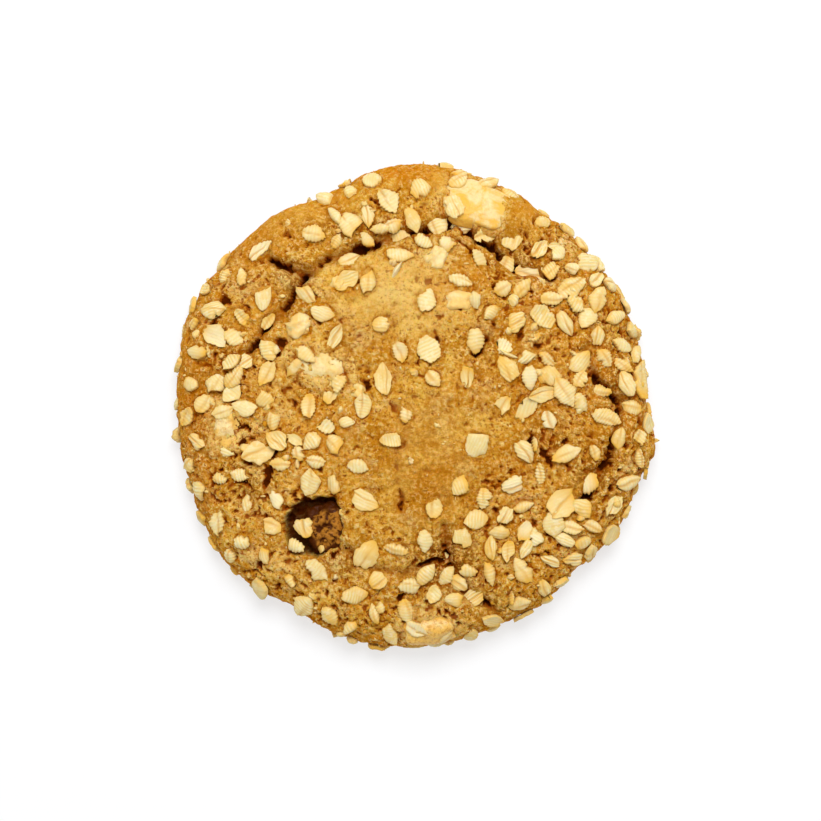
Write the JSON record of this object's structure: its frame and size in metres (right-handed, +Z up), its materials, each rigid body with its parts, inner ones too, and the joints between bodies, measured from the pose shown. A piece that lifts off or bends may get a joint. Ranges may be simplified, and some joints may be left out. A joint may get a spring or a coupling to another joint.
{
  "type": "oat cookie with chocolate pieces",
  "caption": "Round baked oat cookie with a domed, cracked top, pressed-in oat flakes, pieces of white and milk chocolate, and a flat base.",
  "frame": {"origin": "middle of the flat base, on the surface that the cookie rests on", "axes": "+Z up through the top, +Y towards the smooth fold of the rim, +X to the right seen from above"},
  "size_m": [0.1006, 0.1012, 0.0179],
  "materials": {
    "baked_dough": "golden brown baked crumb, matt and rough, with pale oat flakes",
    "white_chocolate": "pale cream, soft sheen, browned by baking at the edges",
    "milk_chocolate": "brown, soft sheen, with cracks"
  },
  "bodies": {
    "root": {"cookie": "baked_dough", "white_chocolate_top": "white_chocolate", "white_chocolate_left": "white_chocolate", "white_chocolate_edge": "white_chocolate", "white_chocolate_bottom": "white_chocolate", "milk_chocolate_chunk": "milk_chocolate"}
  },
  "joints": []
}
